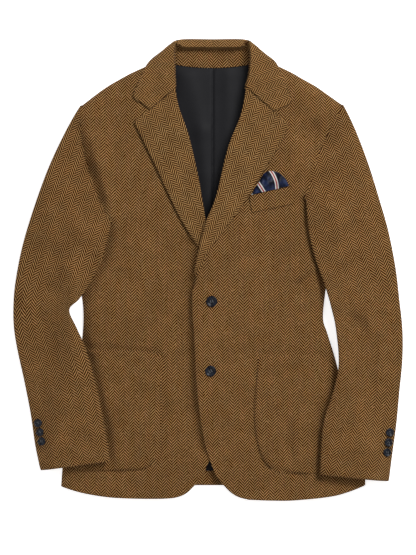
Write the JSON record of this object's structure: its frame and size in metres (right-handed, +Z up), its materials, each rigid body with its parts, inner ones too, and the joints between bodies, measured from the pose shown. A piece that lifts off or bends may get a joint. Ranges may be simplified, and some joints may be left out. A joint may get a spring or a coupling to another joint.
{
  "type": "suit jacket",
  "caption": "Single-breasted tweed jacket laid flat face up, fronts lapped and buttoned, notch lapels, patch pockets, sleeves bent over the body.",
  "frame": {"origin": "middle of the laid jacket's outline, on the surface it lies on", "axes": "+Z up, +Y from the hem to the collar, +X to the wearer's left"},
  "size_m": [0.6669, 0.7906, 0.0479],
  "materials": {
    "tweed": "brown herringbone tweed, matt, slightly hairy",
    "lining": "charcoal satin lining",
    "pocket_silk": "navy silk with white and red stripes",
    "button": "dark marbled resin"
  },
  "bodies": {
    "root": {"back_right": "tweed", "back_left": "tweed", "back_hem": "tweed", "back_lining": "lining", "back_neck_facing": "tweed", "front_right": "tweed", "front_left": "tweed", "lapel_right": "tweed", "lapel_left": "tweed", "collar": "tweed", "sleeve_right": "tweed", "sleeve_left": "tweed", "hip_pocket_right": "tweed", "hip_pocket_left": "tweed", "breast_pocket_welt": "tweed", "pocket_square": "pocket_silk", "front_button_1": "button", "front_button_2": "button", "cuff_button_right_1": "button", "cuff_button_right_2": "button", "cuff_button_right_3": "button", "cuff_button_left_1": "button", "cuff_button_left_2": "button", "cuff_button_left_3": "button"}
  },
  "joints": []
}
